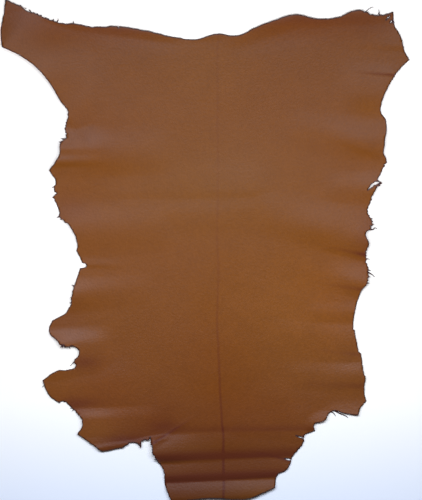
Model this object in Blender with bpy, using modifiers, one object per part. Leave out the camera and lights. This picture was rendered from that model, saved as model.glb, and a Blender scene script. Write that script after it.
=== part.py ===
"""A whole tanned goat skin, lying flat with its grain side up.

It is one trimmed sheet of leather: the hind shanks and the rump at the +Y end, the neck at the -Y end, and the
backbone along the Y axis. The middle lies flat on Z = 0, and soft folds rise from it towards the flanks, across
the neck and along the rump. Lengths in the tables are in millimetres; the model is in metres.
"""

import math
from collections import namedtuple

import bmesh
import bpy
from mathutils import Vector

MM = 0.001

# Driving dimensions
THICKNESS = 1.2 * MM
ROW_STEP = 10.0 * MM  # between the cuts across the back, which carry the folds
COLUMN_STEP = 36.0 * MM  # between the cuts along the back
GRID_START = (-0.449, -0.613)  # keeps the cuts off the backbone, the origin and the turns of the edge
CURVE_STEPS = 3  # straight pieces between two bends of the trimmed edge
SHORTEST_EDGE = 0.9 * MM

LEATHER_COLOUR = (0.21, 0.085, 0.034, 1.0)
LEATHER_ROUGHNESS = 0.48

# The trimmed edge, clockwise as seen from above, in named stretches. Across is to the right of the backbone,
# along is towards the rump. A bend is rounded and a corner is sharp.
Edge = namedtuple("Edge", "across along turn")

RUMP = (
    Edge(-427, 501, "corner"),
    Edge(-400, 489, "bend"),
    Edge(-341, 462, "bend"),
    Edge(-319, 454, "bend"),
    Edge(-288, 453, "bend"),
    Edge(-250, 446, "bend"),
    Edge(-204, 447, "bend"),
    Edge(-147, 438, "bend"),
    Edge(-80, 424, "bend"),
    Edge(-50, 421, "bend"),
    Edge(-3, 432, "bend"),
    Edge(38, 429, "bend"),
    Edge(73, 445, "bend"),
    Edge(105, 457, "bend"),
    Edge(150, 470, "bend"),
    Edge(200, 462, "bend"),
    Edge(240, 466, "bend"),
    Edge(268, 478, "bend"),
    Edge(286, 479, "corner"),
    Edge(291, 475, "corner"),
    Edge(319, 469, "bend"),
    Edge(348, 476, "corner"),
)
RIGHT_HIND_SHANK = (
    Edge(351, 450, "bend"),
    Edge(364, 426, "bend"),
    Edge(372, 396, "bend"),
    Edge(381, 380, "corner"),
    Edge(363, 363, "bend"),
    Edge(339, 327, "bend"),
    Edge(324, 288, "bend"),
    Edge(324, 276, "bend"),
    Edge(334, 259, "bend"),
)
RIGHT_FLANK = (
    Edge(330, 206, "bend"),
    Edge(330, 190, "bend"),
    Edge(335, 183, "bend"),
    Edge(328, 163, "bend"),
    Edge(317, 141, "corner"),
    Edge(326, 134, "corner"),
    Edge(316, 126, "corner"),
    Edge(304, 100, "bend"),
    Edge(298, 70, "bend"),
    Edge(305, 62, "bend"),
    Edge(306, 40, "corner"),
    Edge(294, 33, "bend"),
    Edge(299, 15, "bend"),
)
RIGHT_BELLY = (
    Edge(294, -10, "bend"),
    Edge(298, -61, "bend"),
    Edge(284, -84, "bend"),
    Edge(272, -124, "bend"),
    Edge(269, -156, "bend"),
    Edge(279, -203, "corner"),
    Edge(284, -207, "corner"),
    Edge(293, -260, "bend"),
    Edge(295, -302, "corner"),
    Edge(283, -316, "bend"),
    Edge(278, -331, "corner"),
)
RIGHT_ARMPIT = (
    Edge(250, -327, "bend"),
    Edge(226, -322, "bend"),
    Edge(209, -343, "bend"),
    Edge(191, -348, "bend"),
    Edge(192, -361, "corner"),
    Edge(170, -372, "bend"),
    Edge(169, -384, "bend"),
    Edge(148, -413, "bend"),
    Edge(137, -438, "bend"),
    Edge(117, -450, "bend"),
    Edge(112, -475, "corner"),
    Edge(82, -488, "bend"),
    Edge(59, -497, "bend"),
)
NECK = (
    Edge(-18, -496, "bend"),
    Edge(-94, -504, "corner"),
    Edge(-108, -470, "bend"),
    Edge(-111, -441, "bend"),
    Edge(-131, -409, "bend"),
    Edge(-135, -388, "bend"),
    Edge(-137, -374, "corner"),
    Edge(-141, -381, "corner"),
    Edge(-152, -382, "bend"),
    Edge(-157, -393, "corner"),
)
LEFT_FORE_SHANK = (
    Edge(-167, -385, "bend"),
    Edge(-196, -395, "bend"),
    Edge(-234, -403, "corner"),
    Edge(-258, -391, "bend"),
    Edge(-283, -368, "corner"),
    Edge(-273, -345, "bend"),
    Edge(-289, -322, "bend"),
    Edge(-312, -302, "bend"),
    Edge(-320, -306, "corner"),
    Edge(-341, -289, "bend"),
    Edge(-353, -260, "corner"),
    Edge(-321, -240, "bend"),
    Edge(-303, -239, "bend"),
    Edge(-286, -231, "bend"),
    Edge(-290, -223, "bend"),
)
LEFT_BELLY = (
    Edge(-280, -207, "bend"),
    Edge(-283, -197, "bend"),
    Edge(-300, -192, "bend"),
    Edge(-314, -193, "bend"),
    Edge(-322, -182, "bend"),
    Edge(-340, -164, "bend"),
    Edge(-334, -141, "corner"),
    Edge(-303, -121, "bend"),
    Edge(-292, -80, "bend"),
    Edge(-278, -36, "corner"),
    Edge(-265, -31, "bend"),
    Edge(-273, -26, "corner"),
    Edge(-285, -1, "corner"),
)
LEFT_FLANK = (
    Edge(-283, 10, "bend"),
    Edge(-300, 49, "bend"),
    Edge(-318, 65, "bend"),
    Edge(-320, 78, "bend"),
    Edge(-332, 106, "corner"),
    Edge(-326, 113, "corner"),
    Edge(-330, 120, "bend"),
    Edge(-327, 138, "bend"),
    Edge(-340, 159, "corner"),
    Edge(-319, 190, "bend"),
    Edge(-317, 212, "bend"),
    Edge(-306, 228, "bend"),
    Edge(-309, 242, "bend"),
    Edge(-302, 275, "bend"),
)
LEFT_HIND_SHANK = (
    Edge(-318, 299, "bend"),
    Edge(-344, 341, "bend"),
    Edge(-384, 379, "bend"),
    Edge(-433, 405, "corner"),
    Edge(-436, 437, "bend"),
    Edge(-430, 476, "bend"),
)
OUTLINE = (
    RUMP
    + RIGHT_HIND_SHANK
    + RIGHT_FLANK
    + RIGHT_BELLY
    + RIGHT_ARMPIT
    + NECK
    + LEFT_FORE_SHANK
    + LEFT_BELLY
    + LEFT_FLANK
    + LEFT_HIND_SHANK
)

# A fold is a low ridge. Its crest runs from an inner end to an outer end, each (across, along, height), and dies
# away past both. Rear and front are the widths of its two slopes, towards the rump and towards the neck. A soft
# foot runs out level, and a tight foot meets its neighbour in a crease.
Fold = namedtuple("Fold", "inner outer rear front rear_foot front_foot")
RUN_OUT = 60.0

RUMP_FOLDS = (
    Fold((-330, 461, 2.0), (-120, 434, 2.8), 20, 19, "soft", "soft"),
    Fold((-330, 462, 0.0), (-430, 500, 2.4), 20, 60, "soft", "soft"),
    Fold((-28, 428, 1.0), (18, 431, 1.0), 20, 13, "soft", "soft"),
    Fold((50, 438, 2.2), (160, 473, 4.2), 20, 32, "soft", "soft"),
    Fold((160, 472, 4.0), (310, 480, 3.4), 20, 32, "soft", "soft"),
)
LEFT_FOLDS = (
    Fold((-306, 274, 4.0), (-380, 334, 12.5), 150, 22, "soft", "soft"),
    Fold((-380, 334, 12.5), (-440, 382, 11.0), 150, 22, "soft", "soft"),
    Fold((-140, 196, 1.8), (-230, 198, 3.4), 60, 60, "soft", "soft"),
    Fold((-205, 200, 3.0), (-262, 201, 7.6), 56, 64, "soft", "soft"),
    Fold((-262, 201, 7.6), (-330, 198, 8.0), 50, 68, "soft", "soft"),
    Fold((-130, 52, 2.6), (-292, 40, 4.8), 56, 64, "soft", "soft"),
    Fold((-170, -76, 1.0), (-292, -86, 4.2), 34, 46, "soft", "soft"),
    Fold((-262, -188, 4.8), (-330, -193, 8.4), 38, 100, "soft", "soft"),
    Fold((-200, -258, 1.6), (-336, -258, 1.8), 50, 62, "soft", "tight"),
    Fold((-160, -336, 1.8), (-278, -341, 4.4), 29, 140, "soft", "soft"),
    Fold((-200, -398, 3.0), (-262, -410, 5.5), 90, 14, "soft", "soft"),
)
RIGHT_FOLDS = (
    Fold((284, 314, 2.8), (336, 313, 4.0), 76, 46, "soft", "soft"),
    Fold((180, 240, 1.3), (330, 216, 5.8), 47, 50, "soft", "soft"),
    Fold((255, 125, 2.4), (320, 125, 4.8), 38, 38, "soft", "soft"),
    Fold((110, 68, 2.8), (235, 38, 5.8), 62, 52, "soft", "soft"),
    Fold((240, 37, 5.8), (296, 24, 7.2), 62, 46, "soft", "tight"),
    Fold((200, -46, 0.8), (298, -66, 6.2), 38, 38, "soft", "soft"),
    Fold((215, -124, 0.9), (274, -124, 1.4), 24, 26, "soft", "soft"),
    Fold((120, -168, 0.6), (270, -180, 1.8), 30, 72, "tight", "soft"),
    Fold((180, -249, 1.3), (284, -249, 2.9), 34, 46, "soft", "soft"),
    Fold((206, -350, 6.0), (238, -344, 6.6), 38, 12, "soft", "soft"),
    Fold((246, -356, 7.0), (300, -356, 7.8), 60, 12, "soft", "soft"),
)
NECK_FOLDS = (
    Fold((-60, -338, 1.0), (180, -338, 1.0), 90, 25, "soft", "tight"),
    Fold((60, -346, 1.2), (165, -344, 2.4), 60, 66, "soft", "tight"),
    Fold((-130, -407, 9.0), (-30, -405, 2.4), 38, 22, "tight", "tight"),
    Fold((-30, -403, 1.4), (165, -389, 1.3), 38, 24, "tight", "tight"),
    Fold((-110, -452, 3.4), (10, -448, 2.2), 30, 13, "tight", "tight"),
    Fold((10, -448, 2.2), (137, -444, 2.2), 30, 13, "tight", "tight"),
    Fold((-100, -496, 5.4), (112, -489, 6.6), 32, 15, "tight", "soft"),
)
BACK_FOLDS = (
    Fold((-200, 118, 0.5), (72, 121, 0.7), 60, 20, "soft", "soft"),
    Fold((-100, 70, 1.4), (85, 76, 1.4), 34, 54, "soft", "soft"),
)
FOLDS = RUMP_FOLDS + LEFT_FOLDS + RIGHT_FOLDS + NECK_FOLDS + BACK_FOLDS


def clear_scene():
    for obj in list(bpy.data.objects):
        bpy.data.objects.remove(obj, do_unlink=True)


def make_collection(name):
    collection = bpy.data.collections.new(name)
    bpy.context.scene.collection.children.link(collection)
    return collection


def leather_material():
    material = bpy.data.materials.new("grain_leather")
    material.use_nodes = True
    shader = material.node_tree.nodes["Principled BSDF"]
    shader.inputs["Base Color"].default_value = LEATHER_COLOUR
    shader.inputs["Roughness"].default_value = LEATHER_ROUGHNESS
    shader.inputs["Metallic"].default_value = 0.0
    return material


def ease(part):
    """A smooth step from 0 to 1."""
    part = min(max(part, 0.0), 1.0)
    return part * part * (3.0 - 2.0 * part)


def slope(distance, width, foot):
    """Height of one side of a fold, from 1 at the crest to 0 at its foot."""
    reached = min(distance / width, 1.0)
    if foot == "tight":
        return math.cos(0.5 * math.pi * reached)
    return 0.5 + 0.5 * math.cos(math.pi * reached)


def fold_height(fold, across, along):
    """Height that one fold gives a point of the sheet, in millimetres."""
    inner = Vector(fold.inner[:2])
    crest = Vector(fold.outer[:2]) - inner
    offset = Vector((across, along)) - inner
    outward = offset.dot(crest) / crest.length
    height = fold.inner[2] + (fold.outer[2] - fold.inner[2]) * ease(outward / crest.length)
    height *= ease(1.0 + outward / RUN_OUT) * ease(1.0 + (crest.length - outward) / RUN_OUT)
    rearward = (crest.x * offset.y - crest.y * offset.x) / math.copysign(crest.length, crest.x)
    if rearward > 0.0:
        return height * slope(rearward, fold.rear, fold.rear_foot)
    return height * slope(-rearward, fold.front, fold.front_foot)


def sheet_height(across, along):
    return max(fold_height(fold, across, along) for fold in FOLDS)


def outline_mesh():
    """The trimmed outline as a flat mesh, from a closed Bezier curve through its bends and corners."""
    curve = bpy.data.curves.new("hide_outline", "CURVE")
    curve.dimensions = "2D"
    curve.fill_mode = "NONE"
    curve.resolution_u = CURVE_STEPS
    spline = curve.splines.new("BEZIER")
    spline.use_cyclic_u = True
    spline.bezier_points.add(len(OUTLINE) - 1)
    for point, edge in zip(spline.bezier_points, OUTLINE):
        point.co = (edge.across * MM, edge.along * MM, 0.0)
        handle = "VECTOR" if edge.turn == "corner" else "AUTO"
        point.handle_left_type = handle
        point.handle_right_type = handle
    guide = bpy.data.objects.new("hide_outline", curve)
    bpy.context.scene.collection.objects.link(guide)
    bpy.context.view_layer.update()
    mesh = bpy.data.meshes.new_from_object(guide.evaluated_get(bpy.context.evaluated_depsgraph_get()))
    bpy.data.objects.remove(guide)
    bpy.data.curves.remove(curve)
    return mesh


def cut_along(sheet, axis, start, step):
    """Cuts the whole sheet by upright planes a step apart, square to the given axis."""
    places = [vertex.co[axis] for vertex in sheet.verts]
    normal = Vector((0.0, 0.0, 0.0))
    normal[axis] = 1.0
    place = start
    while place < max(places):
        if place > min(places):
            everything = sheet.verts[:] + sheet.edges[:] + sheet.faces[:]
            bmesh.ops.bisect_plane(sheet, geom=everything, plane_co=normal * place, plane_no=normal)
        place += step


def make_hide(collection):
    mesh = outline_mesh()
    mesh.name = "hide"
    sheet = bmesh.new()
    sheet.from_mesh(mesh)
    bmesh.ops.remove_doubles(sheet, verts=sheet.verts, dist=SHORTEST_EDGE)
    bmesh.ops.contextual_create(sheet, geom=sheet.edges[:])
    cut_along(sheet, 1, GRID_START[1], ROW_STEP)
    cut_along(sheet, 0, GRID_START[0], COLUMN_STEP)
    bmesh.ops.remove_doubles(sheet, verts=sheet.verts, dist=SHORTEST_EDGE)
    bmesh.ops.triangulate(sheet, faces=sheet.faces)
    for vertex in sheet.verts:
        vertex.co.z = sheet_height(vertex.co.x / MM, vertex.co.y / MM) * MM
    bmesh.ops.recalc_face_normals(sheet, faces=sheet.faces)
    if sum(face.normal.z for face in sheet.faces) < 0.0:
        bmesh.ops.reverse_faces(sheet, faces=sheet.faces)
    sheet.to_mesh(mesh)
    sheet.free()
    mesh.materials.append(leather_material())
    hide = bpy.data.objects.new("hide", mesh)
    collection.objects.link(hide)
    thickness = hide.modifiers.new("leather thickness", "SOLIDIFY")
    thickness.thickness = THICKNESS
    thickness.offset = 1.0
    return hide


def main():
    clear_scene()
    make_hide(make_collection("leather_hide"))


main()
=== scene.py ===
"""A whole tanned goat skin, laid out flat with its grain side up, on a plain pale floor."""

import math
from collections import namedtuple

import bmesh
import bpy
import numpy as np
from bpy.props import FloatProperty, FloatVectorProperty, PointerProperty
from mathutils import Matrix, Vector, noise
from mathutils.kdtree import KDTree


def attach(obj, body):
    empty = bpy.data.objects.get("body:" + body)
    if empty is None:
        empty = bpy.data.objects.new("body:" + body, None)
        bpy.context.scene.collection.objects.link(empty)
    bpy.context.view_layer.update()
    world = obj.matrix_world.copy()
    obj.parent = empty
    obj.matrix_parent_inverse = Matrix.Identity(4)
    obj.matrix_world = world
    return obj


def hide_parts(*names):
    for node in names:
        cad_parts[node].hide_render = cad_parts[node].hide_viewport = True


bl_info = {
    "name": "Leather Hide",
    "version": (1, 0, 0),
    "blender": (4, 5, 0),
    "location": "3D View > Sidebar > Leather Hide",
    "description": "A whole tanned skin laid out flat, with folds, a torn edge and grained leather",
    "category": "Add Mesh",
}

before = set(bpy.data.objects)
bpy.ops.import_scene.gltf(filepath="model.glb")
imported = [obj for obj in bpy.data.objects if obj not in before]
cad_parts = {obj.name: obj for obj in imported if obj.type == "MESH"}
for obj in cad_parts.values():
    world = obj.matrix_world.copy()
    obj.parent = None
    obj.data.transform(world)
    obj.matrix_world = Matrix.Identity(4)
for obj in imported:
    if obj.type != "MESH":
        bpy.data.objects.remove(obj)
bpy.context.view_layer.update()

MM = 0.001

# The trimmed edge, clockwise as seen from above, in named stretches, in millimetres. Across is to the right
# of the backbone, along is towards the rump. A bend is rounded and a corner is sharp.
Edge = namedtuple("Edge", "across along turn")

RUMP = (
    Edge(-427, 501, "corner"),
    Edge(-400, 489, "bend"),
    Edge(-341, 462, "bend"),
    Edge(-319, 454, "bend"),
    Edge(-288, 453, "bend"),
    Edge(-250, 446, "bend"),
    Edge(-204, 447, "bend"),
    Edge(-147, 438, "bend"),
    Edge(-80, 424, "bend"),
    Edge(-50, 421, "bend"),
    Edge(-3, 432, "bend"),
    Edge(38, 429, "bend"),
    Edge(73, 445, "bend"),
    Edge(105, 457, "bend"),
    Edge(150, 470, "bend"),
    Edge(200, 462, "bend"),
    Edge(240, 466, "bend"),
    Edge(268, 478, "bend"),
    Edge(286, 479, "corner"),
    Edge(291, 475, "corner"),
    Edge(319, 469, "bend"),
    Edge(348, 476, "corner"),
)
RIGHT_HIND_SHANK = (
    Edge(351, 450, "bend"),
    Edge(364, 426, "bend"),
    Edge(372, 396, "bend"),
    Edge(381, 380, "corner"),
    Edge(363, 363, "bend"),
    Edge(339, 327, "bend"),
    Edge(324, 288, "bend"),
    Edge(324, 276, "bend"),
    Edge(334, 259, "bend"),
)
RIGHT_FLANK = (
    Edge(330, 206, "bend"),
    Edge(330, 190, "bend"),
    Edge(335, 183, "bend"),
    Edge(328, 163, "bend"),
    Edge(317, 141, "corner"),
    Edge(326, 134, "corner"),
    Edge(316, 126, "corner"),
    Edge(304, 100, "bend"),
    Edge(298, 70, "bend"),
    Edge(305, 62, "bend"),
    Edge(306, 40, "corner"),
    Edge(294, 33, "bend"),
    Edge(299, 15, "bend"),
)
RIGHT_BELLY = (
    Edge(294, -10, "bend"),
    Edge(298, -61, "bend"),
    Edge(284, -84, "bend"),
    Edge(272, -124, "bend"),
    Edge(268, -158, "corner"),
    Edge(271, -160, "corner"),
    Edge(279, -203, "corner"),
    Edge(284, -207, "corner"),
    Edge(290, -250, "corner"),
    Edge(293, -253, "corner"),
    Edge(291, -286, "bend"),
    Edge(295, -302, "corner"),
    Edge(283, -316, "bend"),
    Edge(278, -331, "corner"),
)
RIGHT_ARMPIT = (
    Edge(250, -327, "bend"),
    Edge(226, -322, "bend"),
    Edge(209, -343, "bend"),
    Edge(191, -348, "bend"),
    Edge(192, -361, "corner"),
    Edge(170, -372, "bend"),
    Edge(169, -384, "bend"),
    Edge(148, -413, "bend"),
    Edge(137, -438, "bend"),
    Edge(117, -450, "bend"),
    Edge(112, -475, "corner"),
    Edge(82, -488, "bend"),
    Edge(59, -497, "bend"),
)
NECK = (
    Edge(-18, -496, "bend"),
    Edge(-94, -504, "corner"),
    Edge(-108, -470, "bend"),
    Edge(-111, -441, "bend"),
    Edge(-131, -409, "bend"),
    Edge(-135, -388, "bend"),
    Edge(-137, -374, "corner"),
    Edge(-141, -381, "corner"),
    Edge(-152, -382, "bend"),
    Edge(-157, -393, "corner"),
)
LEFT_FORE_SHANK = (
    Edge(-167, -385, "bend"),
    Edge(-196, -395, "bend"),
    Edge(-234, -403, "corner"),
    Edge(-257, -386, "bend"),
    Edge(-283, -368, "corner"),
    Edge(-273, -345, "bend"),
    Edge(-289, -322, "bend"),
    Edge(-312, -302, "bend"),
    Edge(-320, -306, "corner"),
    Edge(-341, -289, "bend"),
    Edge(-353, -260, "corner"),
    Edge(-321, -240, "bend"),
    Edge(-303, -239, "bend"),
    Edge(-286, -231, "bend"),
    Edge(-290, -223, "bend"),
)
LEFT_BELLY = (
    Edge(-280, -207, "bend"),
    Edge(-283, -197, "bend"),
    Edge(-300, -192, "bend"),
    Edge(-314, -193, "bend"),
    Edge(-322, -182, "bend"),
    Edge(-340, -164, "bend"),
    Edge(-334, -141, "corner"),
    Edge(-303, -121, "bend"),
    Edge(-292, -80, "bend"),
    Edge(-278, -36, "corner"),
    Edge(-265, -31, "bend"),
    Edge(-273, -26, "corner"),
    Edge(-285, -1, "corner"),
)
LEFT_FLANK = (
    Edge(-283, 10, "bend"),
    Edge(-300, 49, "bend"),
    Edge(-318, 65, "bend"),
    Edge(-320, 78, "bend"),
    Edge(-332, 106, "corner"),
    Edge(-326, 113, "corner"),
    Edge(-330, 120, "bend"),
    Edge(-327, 138, "bend"),
    Edge(-340, 159, "corner"),
    Edge(-319, 190, "bend"),
    Edge(-317, 212, "bend"),
    Edge(-306, 228, "bend"),
    Edge(-309, 242, "bend"),
    Edge(-302, 275, "bend"),
)
LEFT_HIND_SHANK = (
    Edge(-318, 299, "bend"),
    Edge(-344, 341, "bend"),
    Edge(-384, 379, "bend"),
    Edge(-433, 405, "corner"),
    Edge(-436, 437, "bend"),
    Edge(-430, 476, "bend"),
)
OUTLINE = (
    RUMP
    + RIGHT_HIND_SHANK
    + RIGHT_FLANK
    + RIGHT_BELLY
    + RIGHT_ARMPIT
    + NECK
    + LEFT_FORE_SHANK
    + LEFT_BELLY
    + LEFT_FLANK
    + LEFT_HIND_SHANK
)

# Small torn teeth that stand out of the edge, and nicks that go into it: where the tip of each lies.
Tooth = namedtuple("Tooth", "across along")
TEETH = (
    Tooth(-330, 462),
    Tooth(-320, 463),
    Tooth(-291, 459),
    Tooth(-201, 443),
    Tooth(319, 480),
    Tooth(331, 166),
    Tooth(322, 127),
    Tooth(306, 55),
    Tooth(304, -42),
    Tooth(302, -54),
    Tooth(-130, -419),
    Tooth(-137, -389),
    Tooth(-294, -323),
    Tooth(-298, -316),
    Tooth(-299, -106),
    Tooth(-297, -95),
    Tooth(-295, -69),
    Tooth(-325, 64),
    Tooth(-335, 125),
    Tooth(-320, 216),
    Tooth(-316, 223),
    Tooth(-311, 59),
    Tooth(-396, 490),
    Tooth(307, 64),
    Tooth(302, 48),
    Tooth(332, 169),
    Tooth(302, -18),
    Tooth(301, -66),
    Tooth(-193, -398),
    Tooth(-318, -195),
    Tooth(-310, -189),
    Tooth(-297, -198),
)

# The whole edge wanders a little, at WANDERS to the metre, and is torn more finely, at TEARS to the metre.
WANDERS = 90.0
TEARS = 240.0
TEAR_SHARE = 0.8
TEAR_SEED = 2

# Stretches where the edge was torn rather than cut: the middle of each, how far it reaches and how much
# rougher the edge is there.
Fray = namedtuple("Fray", "across along reach rough")
FRAYS = (
    Fray(-304, 250, 26, 6.0),
    Fray(-314, 216, 16, 5.0),
    Fray(-330, 115, 16, 4.5),
    Fray(-316, 61, 14, 6.0),
    Fray(-300, -102, 20, 3.5),
    Fray(-303, -193, 15, 9.0),
    Fray(-303, -313, 18, 5.0),
    Fray(-280, -336, 18, 3.5),
    Fray(-184, -392, 34, 3.0),
    Fray(-140, -396, 28, 4.0),
    Fray(328, 172, 22, 4.0),
    Fray(300, 92, 20, 3.0),
    Fray(303, 52, 20, 7.0),
    Fray(298, -12, 24, 5.0),
    Fray(300, -48, 24, 5.5),
    Fray(160, -400, 40, 2.5),
    Fray(-360, 470, 44, 4.0),
    Fray(-270, 450, 46, 2.5),
    Fray(304, 474, 30, 3.5),
)

# Tears through the sheet near its edge, pointed at both ends, with the width of each at its middle.
Slit = namedtuple("Slit", "start end width")
SLITS = (
    Slit((-393, 485), (-374, 474), 3.6),
    Slit((297, 120), (314, 137), 5.0),
    Slit((303, 130), (322, 136), 6.0),
    Slit((334, 460), (342, 469), 2.0),
    Slit((342, 454), (346, 459), 2.2),
    Slit((154, -371), (172, -377), 2.6),
    Slit((131, -417), (147, -420), 3.2),
)

# Strands of torn leather that still hang from the edge and lie on the floor. Each loses a share of its width
# towards its tip, and rises in its middle.
STRAND_TAPER = 0.55
STRAND_RISE = 0.6
Strand = namedtuple("Strand", "path width")
STRANDS = (
    Strand(((290, 474), (295, 478), (303, 484), (309, 486)), 1.6),
    Strand(((318, 471), (320, 476), (319, 481)), 1.4),
    Strand(((301, 42), (308, 41), (311, 44), (316, 43)), 2.6),
    Strand(((296, -43), (303, -47), (307, -50), (311, -54)), 2.4),
    Strand(((228, -320), (242, -327), (252, -331), (258, -335)), 2.4),
    Strand(((220, -322), (229, -326), (233, -332)), 2.0),
    Strand(((-346, -268), (-350, -271), (-354, -275)), 1.6),
    Strand(((-289, -223), (-293, -227), (-298, -232)), 1.6),
)

# A fold is a low ridge. Its crest runs from an inner end to an outer end, each (across, along, height), and
# dies away past both, over RUN_OUT. Rear and front are the widths of its two slopes, towards the rump and
# towards the neck. A soft foot runs out level, and a tight foot meets its neighbour in a crease.
Fold = namedtuple("Fold", "inner outer rear front rear_foot front_foot")
RUN_OUT = 60.0

RUMP_FOLDS = (
    Fold((-330, 461, 2.0), (-120, 434, 2.8), 20, 19, "soft", "soft"),
    Fold((-330, 462, 0.0), (-430, 500, 2.4), 20, 60, "soft", "soft"),
    Fold((-28, 428, 1.0), (18, 431, 1.0), 20, 13, "soft", "soft"),
    Fold((50, 438, 2.2), (160, 473, 4.2), 20, 32, "soft", "soft"),
    Fold((160, 472, 4.0), (310, 480, 3.4), 20, 32, "soft", "soft"),
    Fold((-290, 408, 0.2), (-110, 388, 0.6), 30, 60, "soft", "soft"),
    Fold((70, 383, 0.3), (215, 416, 0.35), 24, 60, "soft", "soft"),
)
LEFT_FOLDS = (
    Fold((-306, 274, 4.0), (-380, 334, 12.5), 150, 22, "soft", "soft"),
    Fold((-380, 334, 12.5), (-440, 382, 11.0), 150, 22, "soft", "soft"),
    Fold((-140, 196, 1.8), (-230, 198, 3.4), 60, 60, "soft", "soft"),
    Fold((-205, 200, 3.0), (-262, 201, 7.6), 56, 64, "soft", "soft"),
    Fold((-262, 201, 7.6), (-330, 198, 8.0), 50, 68, "soft", "soft"),
    Fold((-130, 52, 2.6), (-292, 40, 4.8), 56, 64, "soft", "soft"),
    Fold((-170, -76, 1.0), (-292, -86, 4.2), 34, 46, "soft", "soft"),
    Fold((-262, -188, 4.8), (-330, -193, 8.4), 38, 100, "soft", "soft"),
    Fold((-200, -258, 1.6), (-336, -258, 1.8), 50, 62, "soft", "tight"),
    Fold((-160, -336, 1.8), (-278, -341, 4.4), 29, 140, "soft", "soft"),
    Fold((-200, -398, 3.0), (-262, -410, 5.5), 90, 14, "soft", "soft"),
)
RIGHT_FOLDS = (
    Fold((284, 314, 2.8), (336, 313, 4.0), 76, 46, "soft", "soft"),
    Fold((180, 240, 1.3), (330, 216, 5.8), 47, 50, "soft", "soft"),
    Fold((255, 125, 2.4), (320, 125, 4.8), 38, 38, "soft", "soft"),
    Fold((110, 68, 2.8), (235, 38, 5.8), 62, 52, "soft", "soft"),
    Fold((240, 37, 5.8), (296, 24, 7.2), 62, 46, "soft", "tight"),
    Fold((200, -46, 0.8), (298, -66, 6.2), 38, 38, "soft", "soft"),
    Fold((215, -124, 0.9), (274, -124, 1.4), 24, 26, "soft", "soft"),
    Fold((120, -168, 0.6), (270, -180, 1.8), 30, 72, "tight", "soft"),
    Fold((180, -249, 1.3), (284, -249, 2.9), 34, 46, "soft", "soft"),
    Fold((206, -350, 6.0), (238, -344, 6.6), 38, 12, "soft", "soft"),
    Fold((246, -356, 7.0), (300, -356, 7.8), 60, 12, "soft", "soft"),
)
NECK_FOLDS = (
    Fold((-60, -338, 1.0), (180, -338, 1.0), 90, 25, "soft", "tight"),
    Fold((60, -346, 1.2), (165, -344, 2.4), 60, 66, "soft", "tight"),
    Fold((-130, -407, 9.0), (-30, -405, 2.4), 38, 22, "tight", "tight"),
    Fold((-30, -403, 1.4), (165, -389, 1.3), 38, 24, "tight", "tight"),
    Fold((-110, -452, 3.4), (10, -448, 2.2), 30, 13, "tight", "tight"),
    Fold((10, -448, 2.2), (137, -444, 2.2), 30, 13, "tight", "tight"),
    Fold((-100, -496, 5.4), (112, -489, 6.6), 32, 15, "tight", "soft"),
)
BACK_FOLDS = (
    Fold((-200, 118, 0.5), (72, 121, 0.7), 60, 20, "soft", "soft"),
    Fold((-100, 70, 1.4), (85, 76, 1.4), 34, 54, "soft", "soft"),
    Fold((-60, -170, 0.8), (60, -170, 0.8), 90, 120, "soft", "soft"),
)
FOLDS = RUMP_FOLDS + LEFT_FOLDS + RIGHT_FOLDS + NECK_FOLDS + BACK_FOLDS

# Narrow wrinkles that stand on top of the folds, wherever they cross them.
WRINKLES = (
    Fold((-262, 202, 0.3), (-320, 202, 1.0), 12, 9, "soft", "soft"),
    Fold((-275, 178, 1.4), (-330, 177, 2.8), 13, 14, "soft", "soft"),
    Fold((-235, -30, 0.6), (-285, -28, 0.8), 16, 8, "soft", "soft"),
    Fold((-140, -382, 1.4), (-238, -396, 1.6), 10, 5, "soft", "tight"),
    Fold((-84, -357, 0.8), (-130, -388, 1.6), 6, 6, "tight", "tight"),
    Fold((300, 412, 0.4), (368, 409, 1.4), 40, 14, "soft", "soft"),
    Fold((318, 355, 0.8), (356, 352, 2.2), 20, 6, "soft", "tight"),
    Fold((215, 232, 0.4), (290, 204, 1.4), 34, 16, "soft", "soft"),
)

# Tanned skin never lies quite flat. It swells so many times to the metre across and along. Each swell has its
# share of the ripple, and a level of its own that keeps it apart from the others.
Swell = namedtuple("Swell", "across along level share")
MIDDLE_SWELL = 0.5
SWELLS = (
    Swell(16.0, 24.0, 0.3, 0.5),
    Swell(60.0, 80.0, 7.1, 0.12),
)

# Soft patches of the skin, with how far each reaches across and along and how much it adds at its middle.
Patch = namedtuple("Patch", "across along wide long amount")

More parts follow.
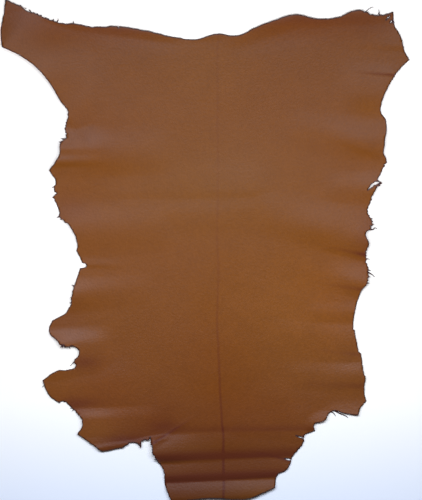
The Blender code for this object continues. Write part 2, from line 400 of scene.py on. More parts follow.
# Where the colour goes deeper, or less deep below zero: partly the dye's own uneven tone, partly painted
# shade
# # at the rump's corners, under the rump's lifted lip, over the neck and in narrow bands beside the folds.
OWN_DEPTH = 0.32
DYE_AND_SHADE_PATCHES = (
    Patch(195, -115, 95, 110, -0.24),
    Patch(60, -130, 110, 120, -0.08),
    Patch(-20, 370, 110, 90, -0.13),
    Patch(298, 284, 28, 22, -0.08),
    Patch(-250, 225, 90, 55, 0.09),
    Patch(-300, 80, 45, 30, 0.14),
    Patch(-418, 490, 60, 40, 0.14),
    Patch(310, 472, 50, 35, 0.15),
    Patch(306, 10, 28, 60, 0.25),
    Patch(-315, -130, 40, 50, 0.12),
    Patch(-298, -318, 25, 25, 0.34),
    Patch(-245, -345, 40, 30, -0.16),
    Patch(10, -285, 110, 90, 0.06),
    Patch(-118, -325, 40, 40, 0.12),
    Patch(-165, -380, 60, 30, 0.20),
    # Painted shade over the neck and its creases, together with the dye's own tone.
    Patch(10, -430, 230, 75, 0.36),
    Patch(-100, -485, 80, 40, 0.20),
    Patch(10, -490, 120, 25, 0.16),
    Patch(90, -485, 60, 35, -0.12),
    # Painted shade: narrow dark bands beside the folds and under the rump's lifted lip.
    Patch(-215, -402, 36, 16, 0.24),
    Patch(-270, -224, 30, 13, 0.34),
    Patch(-272, -306, 36, 11, 0.34),
    Patch(-110, -353, 32, 14, 0.26),
    Patch(-192, -378, 46, 8, 0.28),
    Patch(-190, 442, 90, 14, 0.20),
    Patch(190, 462, 110, 14, 0.20),
    Patch(-245, -362, 40, 22, -0.10),
    Patch(-305, -285, 50, 45, -0.14),
)

# Where the finish is duller, or shinier below zero.
OWN_DULLNESS = 0.0
SHINIEST = -0.4
DULL_PATCHES = (
    Patch(195, -115, 95, 110, 0.10),
    Patch(180, -20, 90, 55, 0.26),
    Patch(30, -130, 90, 70, 0.14),
    Patch(20, -250, 75, 90, 0.30),
    Patch(-290, 122, 70, 22, 0.35),
    Patch(-180, 166, 60, 20, 0.25),
    Patch(-360, 420, 70, 40, 0.26),
    Patch(-20, 370, 110, 90, 0.08),
    Patch(298, 284, 28, 22, 0.30),
    Patch(-295, -165, 40, 18, -0.40),
    Patch(-280, 226, 60, 16, -0.25),
    Patch(-240, -328, 36, 12, -0.25),
    Patch(-290, -235, 55, 55, -0.35),
    Patch(270, -235, 50, 60, -0.30),
    Patch(20, -405, 160, 50, 0.30),
    Patch(20, -300, 140, 60, 0.14),
    Patch(150, 360, 220, 90, 0.10),
    Patch(90, 446, 60, 25, 0.34),
    Patch(285, 440, 60, 28, 0.32),
    Patch(20, -45, 60, 55, 0.14),
    Patch(35, 165, 70, 45, -0.26),
    Patch(10, -400, 60, 25, 0.20),
    Patch(197, -334, 26, 16, 0.12),
    Patch(-315, 425, 62, 34, 0.40),
    Patch(190, 441, 55, 22, 0.34),
    Patch(-228, 242, 46, 20, 0.22),
    Patch(-224, 160, 40, 22, 0.30),
    Patch(275, 195, 60, 28, 0.24),
    Patch(62, 80, 60, 22, 0.17),
    Patch(-25, -112, 38, 34, 0.20),
    Patch(-298, -80, 30, 22, -0.35),
    Patch(262, -80, 30, 20, -0.30),
    Patch(-15, -280, 60, 25, 0.20),
    Patch(200, -262, 80, 36, -0.20),
    Patch(128, -322, 36, 22, 0.26),
    Patch(-125, -345, 45, 30, 0.28),
    Patch(-245, -362, 40, 22, -0.40),
)

# Where the dye has turned redder, or yellower below zero.
OWN_REDNESS = 0.5
RED_PATCHES = (
    Patch(-10, 130, 200, 110, -0.27),
    Patch(-10, -485, 130, 25, -0.40),
    Patch(-30, -405, 150, 32, -0.30),
    Patch(-330, 470, 150, 60, 0.30),
    Patch(150, 460, 200, 40, 0.36),
    Patch(-180, 440, 100, 30, 0.15),
    Patch(-250, -300, 110, 90, 0.30),
    Patch(-20, -210, 110, 70, 0.14),
    Patch(50, -330, 200, 60, 0.22),
    Patch(220, -110, 90, 90, 0.20),
)

# Dark lines in the creases of the neck and flanks: painted crease shade, together with dye gathered there,
# laid
# # down like the folds but with the depth of the colour in place of a height.
CREASE_SHADE_AND_DYE_LINES = (
    Fold((-60, -361, 0.16), (190, -358, 0.24), 16, 6, "soft", "soft"),
    Fold((-125, -419, 0.45), (150, -410, 0.34), 24, 6, "soft", "soft"),
    Fold((-105, -464, 0.50), (108, -452, 0.50), 22, 5, "soft", "soft"),
    Fold((262, -3, 0.25), (294, -10, 0.70), 6, 6, "soft", "soft"),
    Fold((264, -76, 0.25), (292, -80, 0.45), 8, 6, "soft", "soft"),
    Fold((-88, -358, 0.30), (-130, -385, 0.60), 3, 3, "soft", "soft"),
    Fold((122, -416, 0.40), (138, -420, 0.70), 4, 4, "soft", "soft"),
    Fold((330, 351, 0.45), (354, 349, 0.68), 4, 4, "soft", "soft"),
    Fold((200, -270, 0.08), (290, -272, 0.26), 12, 10, "soft", "soft"),
    Fold((230, -204, 0.10), (278, -209, 0.26), 7, 6, "soft", "soft"),
)


# The sheet's shape

# Points are merged where they lie closer than CLOSEST, or on the edge closer than a share of its step. The
# first row and column are cut at a share of a step from the edge. A slit is cut through the faces that lie
# within SLIT_MARGIN of it.
CLOSEST_SHARE = 0.4
CLOSEST = 0.15 * MM
FIRST_CUT = 0.37
SLIT_MARGIN = 6.0 * MM


def ease(part):
    """A smooth step from 0 to 1."""
    part = np.clip(part, 0.0, 1.0)
    return part * part * (3.0 - 2.0 * part)


def slope(distance, width, foot):
    """Height of one side of a fold, from 1 at the crest to 0 at its foot."""
    reached = np.minimum(distance / width, 1.0)
    if foot == "tight":
        return np.cos(0.5 * math.pi * reached)
    return 0.5 + 0.5 * np.cos(math.pi * reached)


def fold_height(fold, across, along):
    """Height that one fold gives each point of the sheet, in millimetres."""
    run_x = fold.outer[0] - fold.inner[0]
    run_y = fold.outer[1] - fold.inner[1]
    length = math.hypot(run_x, run_y)
    off_x = across - fold.inner[0]
    off_y = along - fold.inner[1]
    outward = (off_x * run_x + off_y * run_y) / length
    height = fold.inner[2] + (fold.outer[2] - fold.inner[2]) * ease(outward / length)
    height = height * ease(1.0 + outward / RUN_OUT) * ease(1.0 + (length - outward) / RUN_OUT)
    rearward = (run_x * off_y - run_y * off_x) / math.copysign(length, run_x)
    rear = slope(np.abs(rearward), fold.rear, fold.rear_foot)
    front = slope(np.abs(rearward), fold.front, fold.front_foot)
    return height * np.where(rearward > 0.0, rear, front)


def sheet_height(across, along):
    """Height of the sheet at each point, in millimetres."""
    folds = np.maximum.reduce([fold_height(fold, across, along) for fold in FOLDS])
    wrinkles = sum(fold_height(wrinkle, across, along) for wrinkle in WRINKLES)
    return np.maximum(folds + wrinkles, 0.0)


def outline_loop(step):
    """A bmesh loop of edges along the trimmed outline, none longer than the step."""
    curve = bpy.data.curves.new("trimmed_edge", "CURVE")
    curve.dimensions = "2D"
    curve.fill_mode = "NONE"
    curve.resolution_u = 8
    spline = curve.splines.new("BEZIER")
    spline.use_cyclic_u = True
    spline.bezier_points.add(len(OUTLINE) - 1)
    for point, edge in zip(spline.bezier_points, OUTLINE):
        point.co = (edge.across * MM, edge.along * MM, 0.0)
        handle = "VECTOR" if edge.turn == "corner" else "AUTO"
        point.handle_left_type = handle
        point.handle_right_type = handle
    guide = bpy.data.objects.new("trimmed_edge", curve)
    bpy.context.scene.collection.objects.link(guide)
    bpy.context.view_layer.update()
    mesh = bpy.data.meshes.new_from_object(guide.evaluated_get(bpy.context.evaluated_depsgraph_get()))
    loop = bmesh.new()
    loop.from_mesh(mesh)
    bpy.data.objects.remove(guide)
    bpy.data.curves.remove(curve)
    bpy.data.meshes.remove(mesh)
    bmesh.ops.remove_doubles(loop, verts=loop.verts, dist=CLOSEST_SHARE * step)
    long_edges = [edge for edge in loop.edges if edge.calc_length() > step]
    while long_edges:
        bmesh.ops.subdivide_edges(loop, edges=long_edges, cuts=1)
        long_edges = [edge for edge in loop.edges if edge.calc_length() > step]
    return loop


def roughness_at(place):
    """How rough the edge is at a place, from 1 where it was cut clean."""
    rough = 1.0
    for fray in FRAYS:
        off = math.hypot(place.x / MM - fray.across, place.y / MM - fray.along)
        rough += fray.rough * math.exp(-((off / fray.reach) ** 2))
    return rough


def tear_edge(loop, raggedness):
    """Frays the outline, most where it was torn, and pulls single points of it out to the torn teeth."""
    noise.seed_set(TEAR_SEED)
    moves = []
    for vertex in loop.verts:
        before, after = (edge.other_vert(vertex).co for edge in vertex.link_edges)
        aside = Vector((after.y - before.y, before.x - after.x, 0.0)).normalized()
        wander = noise.noise_vector(vertex.co * WANDERS)
        tear = noise.noise_vector(vertex.co * TEARS) * TEAR_SHARE * roughness_at(vertex.co)
        moves.append(aside * raggedness * (wander + tear).dot(aside))
    for vertex, move in zip(loop.verts, moves):
        vertex.co += move
    for tooth in TEETH:
        tip = Vector((tooth.across * MM, tooth.along * MM, 0.0))
        nearest = min(loop.verts, key=lambda vertex: (vertex.co - tip).length)
        nearest.co = tip


def cut_along(sheet, axis, step):
    """Cuts the whole sheet by upright planes a step apart, square to the given axis."""
    places = [vertex.co[axis] for vertex in sheet.verts]
    normal = Vector((0.0, 0.0, 0.0))
    normal[axis] = 1.0
    place = min(places) + FIRST_CUT * step
    while place < max(places):
        everything = sheet.verts[:] + sheet.edges[:] + sheet.faces[:]
        bmesh.ops.bisect_plane(sheet, geom=everything, plane_co=normal * place, plane_no=normal)
        place += step


def cut_slit(sheet, slit):
    """Cuts a narrow pointed slit through the sheet and removes what lies inside it."""
    start = Vector((*slit.start, 0.0)) * MM
    end = Vector((*slit.end, 0.0)) * MM
    middle = (start + end) / 2.0
    forward = (end - start).normalized()
    aside = Vector((-forward.y, forward.x, 0.0))
    half_length = (end - start).length / 2.0
    half_width = 0.5 * slit.width * MM
    reach = half_length + SLIT_MARGIN
    for tip in (start, end):
        for side in (-1.0, 1.0):
            side_run = middle + side * half_width * aside - tip
            faces = [face for face in sheet.faces if (face.calc_center_median() - middle).length < reach]
            edges = {edge for face in faces for edge in face.edges}
            verts = {vertex for face in faces for vertex in face.verts}
            around = [*verts, *edges, *faces]
            normal = Vector((-side_run.y, side_run.x, 0.0))
            bmesh.ops.bisect_plane(sheet, geom=around, plane_co=tip, plane_no=normal)
    inside = []
    for face in sheet.faces:
        offset = face.calc_center_median() - middle
        if abs(offset.dot(forward)) / half_length + abs(offset.dot(aside)) / half_width < 1.0:
            inside.append(face)
    bmesh.ops.delete(sheet, geom=inside, context="FACES")


def ripple(place):
    """The slight unevenness of the sheet at a place, from 0 to about 1."""
    height = MIDDLE_SWELL
    for swell in SWELLS:
        spot = Vector((place[0] * swell.across, place[1] * swell.along, swell.level))
        height += swell.share * noise.noise(spot)
    return max(0.0, height)


def set_heights(mesh, settings):
    """Lifts each point of the flat sheet to the height of its folds and ripples."""
    places = np.empty(len(mesh.vertices) * 3, np.float32)
    mesh.vertices.foreach_get("co", places)
    places = places.reshape(-1, 3).astype(float)
    ripples = np.array([ripple(place) for place in places]) * settings.ripple
    places[:, 2] = sheet_height(places[:, 0] / MM, places[:, 1] / MM) * MM + ripples
    mesh.vertices.foreach_set("co", places.astype(np.float32).ravel())
    mesh.update()


def note_values(mesh, name, values):
    """Stores one value for each point of the sheet, for the leather's finish to read."""
    mesh.attributes.new(name, "FLOAT", "POINT").data.foreach_set("value", values)


def note_edge_distance(mesh, rim):
    """Notes how far each point lies from the cut edge, in millimetres."""
    tree = KDTree(len(rim))
    for number, place in enumerate(rim):
        tree.insert(place, number)
    tree.balance()
    note_values(mesh, "edge_distance", [tree.find(vertex.co)[2] / MM for vertex in mesh.vertices])


def patchwork(own, patches, across, along):
    """The skin's own value at each point of the sheet, with what its soft patches add."""
    values = np.full(len(across), own)
    for patch in patches:
        off = ((across - patch.across) / patch.wide) ** 2 + ((along - patch.along) / patch.long) ** 2
        values += patch.amount * np.exp(-off)
    return values


def note_tone(mesh):
    """Notes how deep the dye and its painted shade are, how red the dye has turned and how dull the finish
    is.
    """
    across = np.array([vertex.co.x for vertex in mesh.vertices]) / MM
    along = np.array([vertex.co.y for vertex in mesh.vertices]) / MM
    depth = patchwork(OWN_DEPTH, DYE_AND_SHADE_PATCHES, across, along)
    for crease_line in CREASE_SHADE_AND_DYE_LINES:
        depth += fold_height(crease_line, across, along)
    redness = patchwork(OWN_REDNESS, RED_PATCHES, across, along)
    dullness = patchwork(OWN_DULLNESS, DULL_PATCHES, across, along)
    note_values(mesh, "dye_and_shade_depth", np.clip(depth, 0.0, 1.0))
    note_values(mesh, "dye_redness", np.clip(redness, 0.0, 1.0))
    note_values(mesh, "dullness", np.clip(dullness, SHINIEST, 1.0))


def new_piece(name, mesh, materials):
    """Links a finished mesh as a piece of the hide, riding on the frame."""
    for material in materials:
        mesh.materials.append(material)
    piece = bpy.data.objects.new(name, mesh)
    bpy.context.scene.collection.objects.link(piece)
    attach(piece, "root")
    return piece


def make_skin(settings):
    """The skin: fills the torn outline, cuts it into rows and columns, and lifts and thickens it."""
    sheet = outline_loop(settings.edge_step)
    tear_edge(sheet, settings.raggedness)
    bmesh.ops.contextual_create(sheet, geom=sheet.edges[:])
    cut_along(sheet, 1, settings.row_step)
    cut_along(sheet, 0, settings.column_step)
    bmesh.ops.remove_doubles(sheet, verts=sheet.verts, dist=CLOSEST)
    for slit in SLITS:
        cut_slit(sheet, slit)
    bmesh.ops.triangulate(sheet, faces=[face for face in sheet.faces if len(face.verts) > 4])
    bmesh.ops.recalc_face_normals(sheet, faces=sheet.faces)
    if sum(face.normal.z for face in sheet.faces) < 0.0:
        bmesh.ops.reverse_faces(sheet, faces=sheet.faces)
    rim = [vertex.co.copy() for vertex in sheet.verts if vertex.is_boundary]
    mesh = bpy.data.meshes.new("hide_skin")
    sheet.to_mesh(mesh)
    sheet.free()
    note_edge_distance(mesh, rim)
    note_tone(mesh)
    set_heights(mesh, settings)
    mesh.shade_smooth()
    finishes = [grain_leather(settings), flesh_leather(settings), raw_edge(settings)]
    skin = new_piece("hide_skin", mesh, finishes)
    thickness = skin.modifiers.new("leather thickness", "SOLIDIFY")
    thickness.thickness = settings.thickness
    thickness.offset = 1.0
    thickness.material_offset = 1
    thickness.material_offset_rim = 2
    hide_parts("hide")
    return skin


def make_strands(settings):
    """The torn strands: thin tapered curves that rest on the floor."""
    curve = bpy.data.curves.new("torn_strands", "CURVE")
    curve.dimensions = "3D"
    curve.bevel_depth = 0.5 * MM
    curve.bevel_resolution = 2
    curve.resolution_u = 4
    curve.use_fill_caps = True
    for strand in STRANDS:
        spline = curve.splines.new("BEZIER")
        last = len(strand.path) - 1
        spline.bezier_points.add(last)
        for number, (point, (across, along)) in enumerate(zip(spline.bezier_points, strand.path)):
            taper = 1.0 - STRAND_TAPER * number / last
            point.radius = strand.width * taper
            rise = 0.5 * point.radius + STRAND_RISE * math.sin(math.pi * number / last)
            point.co = (across * MM, along * MM, rise * MM)
            point.handle_left_type = "AUTO"
            point.handle_right_type = "AUTO"
    guide = bpy.data.objects.new("torn_strands", curve)
    bpy.context.scene.collection.objects.link(guide)
    bpy.context.view_layer.update()
    mesh = bpy.data.meshes.new_from_object(guide.evaluated_get(bpy.context.evaluated_depsgraph_get()))
    bpy.data.objects.remove(guide)
    bpy.data.curves.remove(curve)
    mesh.name = "torn_strands"
    mesh.shade_smooth()
    return new_piece("torn_strands", mesh, [raw_edge(settings)])


# Finishes


def add_node(tree, kind, place, **values):
    """A shader node at a place in the tree, with attributes or input values set by name."""
    node = tree.nodes.new(kind)
    node.location = place
    for name, value in values.items():
        if hasattr(node, name):
            setattr(node, name, value)
        else:
            node.inputs[name.replace("_", " ")].default_value = value
    return node


def multiply_add(tree, place, factor):
    """A first value times a fixed factor, plus a second value."""
    node = add_node(tree, "ShaderNodeMath", place, operation="MULTIPLY_ADD")
    node.inputs[1].default_value = factor
    return node


def mix_colour(tree, place, blend="MIX"):
    """A mix of two colours, as its factor, the two colours and the result."""
    node = tree.nodes.new("ShaderNodeMix")
    node.location = place
    node.data_type = "RGBA"
    node.blend_type = blend
    return node.inputs[0], node.inputs[6], node.inputs[7], node.outputs[2]


def ramp(tree, place, low, high, reverse=False):
    """A smooth mask of a value between two limits."""
    node = tree.nodes.new("ShaderNodeMapRange")
    node.location = place
    node.interpolation_type = "SMOOTHSTEP"
    node.inputs["From Min"].default_value = low
    node.inputs["From Max"].default_value = high
    node.inputs["To Min"].default_value = 1.0 if reverse else 0.0
    node.inputs["To Max"].default_value = 0.0 if reverse else 1.0
    return node


def new_material(name):
    """A new material with its node tree and its shader."""
    material = bpy.data.materials.new(name)
    material.use_nodes = True
    return material, material.node_tree, material.node_tree.nodes["Principled BSDF"]


def grain_group():
    """Pebbled leather grain: a height for bump, and a mottle of the dye, cloudy and fine."""
    group = bpy.data.node_groups.get("leather_grain")
    if group:
        return group
    group = bpy.data.node_groups.new("leather_grain", "ShaderNodeTree")
    interface = group.interface
    interface.new_socket("Vector", in_out="INPUT", socket_type="NodeSocketVector")
    interface.new_socket("Pebbles", in_out="INPUT", socket_type="NodeSocketFloat")
    interface.new_socket("Height", in_out="OUTPUT", socket_type="NodeSocketFloat")
    interface.new_socket("Mottle", in_out="OUTPUT", socket_type="NodeSocketFloat")
    start = add_node(group, "NodeGroupInput", (-900, 0))
    end = add_node(group, "NodeGroupOutput", (500, 0))
    pebbles = add_node(group, "ShaderNodeTexVoronoi", (-600, 200), feature="SMOOTH_F1")
    pebbles.inputs["Smoothness"].default_value = 0.6
    creases = add_node(group, "ShaderNodeTexNoise", (-600, -100), Scale=260.0, Detail=2.0)
    cloud = add_node(group, "ShaderNodeTexNoise", (-600, -350), Scale=24.0, Detail=3.0)
    specks = add_node(group, "ShaderNodeTexNoise", (-600, -600), Scale=200.0, Detail=3.0)
    height = multiply_add(group, (-200, 100), factor=0.06)
    mottle = multiply_add(group, (-200, -400), factor=0.3)
    even = add_node(group, "ShaderNodeMath", (-400, -350), operation="MULTIPLY")
    even.inputs[1].default_value = 0.7
    for texture in (pebbles, creases, cloud, specks):
        group.links.new(start.outputs["Vector"], texture.inputs["Vector"])
    group.links.new(start.outputs["Pebbles"], pebbles.inputs["Scale"])
    group.links.new(pebbles.outputs["Distance"], height.inputs[0])
    group.links.new(creases.outputs["Fac"], height.inputs[2])
    group.links.new(height.outputs[0], end.inputs["Height"])
    group.links.new(specks.outputs["Fac"], even.inputs[0])
    group.links.new(cloud.outputs["Fac"], mottle.inputs[0])
    group.links.new(even.outputs[0], mottle.inputs[2])
    group.links.new(mottle.outputs[0], end.inputs["Mottle"])
    return group


def backbone_group():
    """The thin dark line that runs down the middle of the back, stronger towards the neck, as a mask."""
    group = bpy.data.node_groups.new("backbone_line", "ShaderNodeTree")
    interface = group.interface
    interface.new_socket("Vector", in_out="INPUT", socket_type="NodeSocketVector")
    interface.new_socket("Line", in_out="OUTPUT", socket_type="NodeSocketFloat")
    start = add_node(group, "NodeGroupInput", (-1100, 0))
    end = add_node(group, "NodeGroupOutput", (500, 0))
    place = add_node(group, "ShaderNodeSeparateXYZ", (-900, 0))
    wander = add_node(group, "ShaderNodeTexNoise", (-900, -250), Scale=9.0, Detail=3.0)
    drift = ramp(group, (-700, 200), -0.45, -0.12)
    drift.inputs["To Min"].default_value = -0.003
    drift.inputs["To Max"].default_value = 0.009
    middle = multiply_add(group, (-500, -100), factor=-0.012)
    aside = add_node(group, "ShaderNodeMath", (-300, 0), operation="ADD")
    distance = add_node(group, "ShaderNodeMath", (-150, 0), operation="ABSOLUTE")
    line = ramp(group, (0, 0), 0.0004, 0.0042, reverse=True)
    strength = ramp(group, (0, -250), -0.42, 0.1, reverse=True)
    strength.inputs["To Max"].default_value = 0.3
    masked = add_node(group, "ShaderNodeMath", (250, 0), operation="MULTIPLY")
    links = group.links
    links.new(start.outputs["Vector"], place.inputs["Vector"])
    links.new(start.outputs["Vector"], wander.inputs["Vector"])
    links.new(place.outputs["Y"], drift.inputs["Value"])
    links.new(place.outputs["Y"], strength.inputs["Value"])
    links.new(wander.outputs["Fac"], middle.inputs[0])
    links.new(drift.outputs["Result"], middle.inputs[2])
    links.new(middle.outputs[0], aside.inputs[0])
    links.new(place.outputs["X"], aside.inputs[1])
    links.new(aside.outputs[0], distance.inputs[0])
    links.new(distance.outputs[0], line.inputs["Value"])
    links.new(line.outputs["Result"], masked.inputs[0])
    links.new(strength.outputs["Result"], masked.inputs[1])
    links.new(masked.outputs[0], end.inputs["Line"])
    return group


def add_grain(tree, pebbles):
    """The grain, laid out in the piece's own space, with so many pebbles to the metre."""
    place = add_node(tree, "ShaderNodeTexCoord", (-1500, 0))
    grain = add_node(tree, "ShaderNodeGroup", (-1200, 0), node_tree=grain_group())
    grain.inputs["Pebbles"].default_value = pebbles
    tree.links.new(place.outputs["Object"], grain.inputs["Vector"])
    return place, grain


def add_mottle(tree, grain, colour, dark, light):
    """The colour mottled between a dark and a light share of itself."""
    factor, first, second, mottled = mix_colour(tree, (-800, 200))
    first.default_value = [dark * part for part in colour[:3]] + [1.0]
    second.default_value = [light * part for part in colour[:3]] + [1.0]
    tree.links.new(grain.outputs["Mottle"], factor)
    return mottled


def grain_leather(settings):
    """The grain side: its dye, painted shade and shine vary over the skin; at the cut edge it darkens with
    the raw edge's colour and painted shade.
    """
    material, tree, shader = new_material("grain_leather")
    links = tree.links
    place, grain = add_grain(tree, pebbles=900.0)
    mottled = add_mottle(tree, grain, settings.grain_colour, dark=0.70, light=1.30)

    backbone = add_node(tree, "ShaderNodeGroup", (-1200, -250), node_tree=backbone_group())
    links.new(place.outputs["Object"], backbone.inputs["Vector"])
    # How deep the dye and its painted shade go, with the backbone line added, mixed towards the deep colour.
    depth = add_node(tree, "ShaderNodeAttribute", (-1200, 450), attribute_name="dye_and_shade_depth")
    deepest = multiply_add(tree, (-1000, 350), factor=0.34)
    links.new(backbone.outputs["Line"], deepest.inputs[0])
    links.new(depth.outputs["Fac"], deepest.inputs[2])
    factor, first, second, dyed = mix_colour(tree, (-600, 200))
    second.default_value = settings.deep_colour
    links.new(deepest.outputs[0], factor)
    links.new(mottled, first)

    redness = add_node(tree, "ShaderNodeAttribute", (-1200, 650), attribute_name="dye_redness")
    factor, first, second, cast = mix_colour(tree, (-600, 500))
    first.default_value = (1.0, 1.16, 1.0, 1.0)
    second.default_value = (1.0, 0.84, 1.0, 1.0)
    links.new(redness.outputs["Fac"], factor)
    factor, first, second, turned = mix_colour(tree, (-500, 350), "MULTIPLY")
    factor.default_value = 1.0
    links.new(dyed, first)
    links.new(cast, second)

    # A dark band along the cut edge: the raw edge's own colour, and painted shade where the edge meets the
    # floor.
    distance = add_node(tree, "ShaderNodeAttribute", (-1500, -500), attribute_name="edge_distance")
    rim = ramp(tree, (-1200, -500), 0.4, 2.8, reverse=True)
    links.new(distance.outputs["Fac"], rim.inputs["Value"])
    factor, first, second, dark_and_shaded_edge = mix_colour(tree, (-400, 200))
    second.default_value = settings.edge_colour
    links.new(rim.outputs["Result"], factor)
    links.new(turned, first)
    links.new(dark_and_shaded_edge, shader.inputs["Base Color"])

    dullness = add_node(tree, "ShaderNodeAttribute", (-800, -300), attribute_name="dullness")
    shine = add_node(tree, "ShaderNodeMapRange", (-400, -100), clamp=False)
    shine.inputs["To Min"].default_value = 0.5
    shine.inputs["To Max"].default_value = 0.0
    links.new(dullness.outputs["Fac"], shine.inputs["Value"])
    links.new(shine.outputs["Result"], shader.inputs["Specular IOR Level"])

    groove = multiply_add(tree, (-600, -500), factor=-0.5)
    links.new(backbone.outputs["Line"], groove.inputs[0])
    links.new(grain.outputs["Height"], groove.inputs[2])
    bump = add_node(tree, "ShaderNodeBump", (-400, -300), Strength=1.0, Distance=0.0004)
    links.new(groove.outputs[0], bump.inputs["Height"])
    links.new(bump.outputs["Normal"], shader.inputs["Normal"])
    shader.inputs["Roughness"].default_value = 0.45
    return material


def flesh_leather(settings):
    """The flesh side: plain suede."""
    material, tree, shader = new_material("flesh_suede")
    links = tree.links
    _, grain = add_grain(tree, pebbles=1500.0)
    mottled = add_mottle(tree, grain, settings.flesh_colour, dark=0.8, light=1.2)
    links.new(mottled, shader.inputs["Base Color"])
    bump = add_node(tree, "ShaderNodeBump", (-400, -300), Strength=0.6, Distance=0.0006)
    links.new(grain.outputs["Height"], bump.inputs["Height"])
    links.new(bump.outputs["Normal"], shader.inputs["Normal"])
    shader.inputs["Roughness"].default_value = 0.95
    shader.inputs["Specular IOR Level"].default_value = 0.2
    shader.inputs["Sheen Weight"].default_value = 0.3
    return material


def raw_edge(settings):
    """The cut edge and the torn strands, one material for both."""
    material = bpy.data.materials.get("raw_edge")
    if material:
        return material
    material, tree, shader = new_material("raw_edge")
    _, grain = add_grain(tree, pebbles=1800.0)
    mottled = add_mottle(tree, grain, settings.edge_colour, dark=0.8, light=1.3)
    tree.links.new(mottled, shader.inputs["Base Color"])
    shader.inputs["Roughness"].default_value = 0.85
    return material


# Stage

DAYLIGHT = (0.86, 0.98, 1.2)
SKYLIGHT = (0.86, 0.93, 1.0, 1.0)
FLOOR_DROP = 0.3 * MM
CAMERA_HEIGHT = 3.6
CAMERA_ASIDE = -0.016
VIEW_LENGTH = 1.0

# The floor's tone down the view, as shares of its colour: painted darker and warmer through the middle, where
# # the lamps light it most, so that the lit floor renders nearly even and white.
Tone = namedtuple("Tone", "along red green blue")
FLOOR_COUNTERSHADE_TONES = (
    Tone(-500, 1.00, 0.99, 1.00),
    Tone(-380, 1.06, 0.99, 0.89),
    Tone(-300, 1.10, 1.00, 0.83),
    Tone(-160, 1.02, 0.90, 0.74),
    Tone(40, 0.96, 0.85, 0.70),
    Tone(300, 1.05, 0.92, 0.76),
    Tone(500, 1.28, 1.12, 0.92),
)
HALF_VIEW = 500.0


def floor_material(settings):
    material, tree, shader = new_material("pale_floor")
    place = add_node(tree, "ShaderNodeTexCoord", (-1100, 0))
    split = add_node(tree, "ShaderNodeSeparateXYZ", (-900, 0))
    down = add_node(tree, "ShaderNodeMapRange", (-700, 0))
    down.inputs["From Min"].default_value = -HALF_VIEW * MM
    down.inputs["From Max"].default_value = HALF_VIEW * MM
    tones = add_node(tree, "ShaderNodeValToRGB", (-500, 0))
    stops = tones.color_ramp.elements
    while len(stops) < len(FLOOR_COUNTERSHADE_TONES):
        stops.new(0.5)
    for stop, tone in zip(stops, FLOOR_COUNTERSHADE_TONES):
        stop.position = 0.5 + 0.5 * tone.along / HALF_VIEW
        shares = zip((tone.red, tone.green, tone.blue), settings.floor_colour)
        stop.color = [share * part for share, part in shares] + [1.0]
    tree.links.new(place.outputs["Object"], split.inputs["Vector"])
    tree.links.new(split.outputs["Y"], down.inputs["Value"])
    tree.links.new(down.outputs["Result"], tones.inputs["Fac"])
    tree.links.new(tones.outputs["Color"], shader.inputs["Base Color"])
    shader.inputs["Roughness"].default_value = 0.9
    shader.inputs["Specular IOR Level"].default_value = 0.1
    return material


def make_floor(settings):
    """A plain floor, a hair below the hide so that the two don't share a surface."""
    sheet = bmesh.new()
    bmesh.ops.create_grid(sheet, x_segments=1, y_segments=1, size=4.0)
    bmesh.ops.translate(sheet, vec=(0.0, 0.0, -FLOOR_DROP), verts=sheet.verts)
    mesh = bpy.data.meshes.new("floor")
    sheet.to_mesh(mesh)
    sheet.free()
    mesh.materials.append(floor_material(settings))
    floor = bpy.data.objects.new("floor", mesh)
    bpy.context.scene.collection.objects.link(floor)


def add_area_light(name, place, target, size, power, glossy=True):
    """A soft rectangular light that faces its target and isn't seen itself."""
    light = bpy.data.lights.new(name, "AREA")
    light.shape = "RECTANGLE"
    light.size, light.size_y = size
    light.energy = power
    light.color = DAYLIGHT
    lamp = bpy.data.objects.new(name, light)
    lamp.location = place
    lamp.rotation_euler = (Vector(target) - Vector(place)).to_track_quat("-Z", "Y").to_euler()
    lamp.visible_camera = False
    lamp.visible_glossy = glossy
    bpy.context.scene.collection.objects.link(lamp)


def make_lights():
    """A window beyond the rump, a long lamp over the back and a faint sky."""
    window = (0.0, 2.0, 4.0)
    add_area_light("window", window, target=(0.0, 0.0, 0.0), size=(1.8, 1.6), power=43.5)
    lamp = (0.0, 0.06, 0.85)
    add_area_light("overhead", lamp, target=(0.0, 0.06, 0.0), size=(1.8, 0.3), power=16.8, glossy=False)
    world = bpy.data.worlds.new("studio")
    world.use_nodes = True
    background = world.node_tree.nodes["Background"]
    background.inputs["Color"].default_value = SKYLIGHT
    background.inputs["Strength"].default_value = 0.1
    bpy.context.scene.world = world


def make_camera():
    """A camera straight above, with VIEW_LENGTH of the floor in view."""
    camera = bpy.data.cameras.new("camera")
    camera.sensor_width = 36.0
    camera.lens = camera.sensor_width * CAMERA_HEIGHT / VIEW_LENGTH
    seat = bpy.data.objects.new("camera", camera)
    seat.location = (CAMERA_ASIDE, 0.0, CAMERA_HEIGHT)
    bpy.context.scene.collection.objects.link(seat)
    bpy.context.scene.camera = seat


# The add-on


def length(name, millimetres, about):
    """A length that the panel shows."""
    return FloatProperty(name=name, default=millimetres * MM, description=about, unit="LENGTH", precision=4)


def colour(name, default, about):
    """A colour that the panel shows."""
    return FloatVectorProperty(name=name, default=default, description=about, subtype="COLOR", size=4)


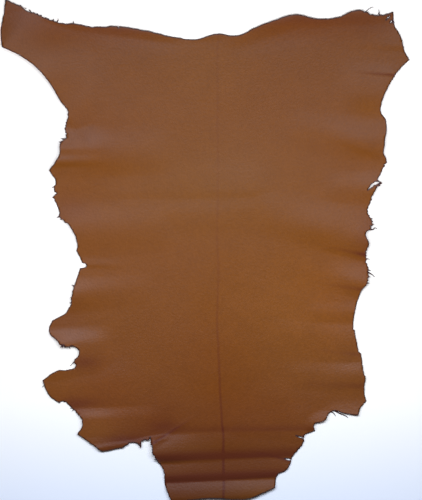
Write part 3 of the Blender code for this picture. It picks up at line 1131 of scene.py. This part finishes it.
class HideSettings(bpy.types.PropertyGroup):
    thickness: length("Thickness", 1.2, "Thickness of the leather")
    ripple: length("Ripple", 0.5, "Height of the sheet's slight unevenness")
    row_step: length("Row step", 2.7, "Mesh step along the backbone")
    column_step: length("Column step", 5.6, "Mesh step across the back")
    edge_step: length("Edge step", 1.7, "Longest straight piece of the edge")
    raggedness: length("Raggedness", 0.8, "How far the cut edge wanders")
    grain_colour: colour("Grain colour", (0.178, 0.0528, 0.0036, 1.0), "Dye where it is lightest")
    # The deep colour is the colour of both the deepest dye and the painted shade.
    deep_colour: colour("Deep colour", (0.089, 0.016, 0.005, 1.0), "Dye where it is deepest")
    flesh_colour: colour("Flesh colour", (0.32, 0.17, 0.085, 1.0), "Suede of the flesh side")
    # The edge colour also paints the dark band along the cut edge on the grain side, partly painted shade.
    edge_colour: colour("Edge colour", (0.045, 0.016, 0.014, 1.0), "Raw cut edge")
    floor_colour: colour("Floor colour", (0.82, 0.82, 0.83, 1.0), "Floor under the hide")


class HIDE_OT_add_skin(bpy.types.Operator):
    """Adds the skin itself, one thin folded sheet with a torn edge"""

    bl_idname = "hide.add_skin"
    bl_label = "Add Skin"

    def execute(self, context):
        make_skin(context.scene.hide_settings)
        return {"FINISHED"}


class HIDE_OT_add_strands(bpy.types.Operator):
    """Adds the strands of torn leather that hang from the edge"""

    bl_idname = "hide.add_strands"
    bl_label = "Add Torn Strands"

    def execute(self, context):
        make_strands(context.scene.hide_settings)
        return {"FINISHED"}


class HIDE_OT_add_stage(bpy.types.Operator):
    """Adds the floor, the lights and the camera"""

    bl_idname = "hide.add_stage"
    bl_label = "Add Stage"

    def execute(self, context):
        make_floor(context.scene.hide_settings)
        make_lights()
        make_camera()
        context.scene.view_settings.view_transform = "Standard"
        return {"FINISHED"}


class HIDE_PT_panel(bpy.types.Panel):
    bl_idname = "HIDE_PT_panel"
    bl_label = "Leather Hide"
    bl_space_type = "VIEW_3D"
    bl_region_type = "UI"
    bl_category = "Leather Hide"

    def draw(self, context):
        layout = self.layout
        settings = context.scene.hide_settings
        for name in HideSettings.__annotations__:
            layout.prop(settings, name)
        layout.operator("hide.add_skin")
        layout.operator("hide.add_strands")
        layout.operator("hide.add_stage")


CLASSES = (HideSettings, HIDE_OT_add_skin, HIDE_OT_add_strands, HIDE_OT_add_stage, HIDE_PT_panel)


def register():
    for each in CLASSES:
        bpy.utils.register_class(each)
    bpy.types.Scene.hide_settings = PointerProperty(type=HideSettings)


def unregister():
    del bpy.types.Scene.hide_settings
    for each in reversed(CLASSES):
        bpy.utils.unregister_class(each)


def main():
    register()
    bpy.ops.hide.add_skin()
    bpy.ops.hide.add_strands()
    bpy.ops.hide.add_stage()


if __name__ == "__main__":
    main()
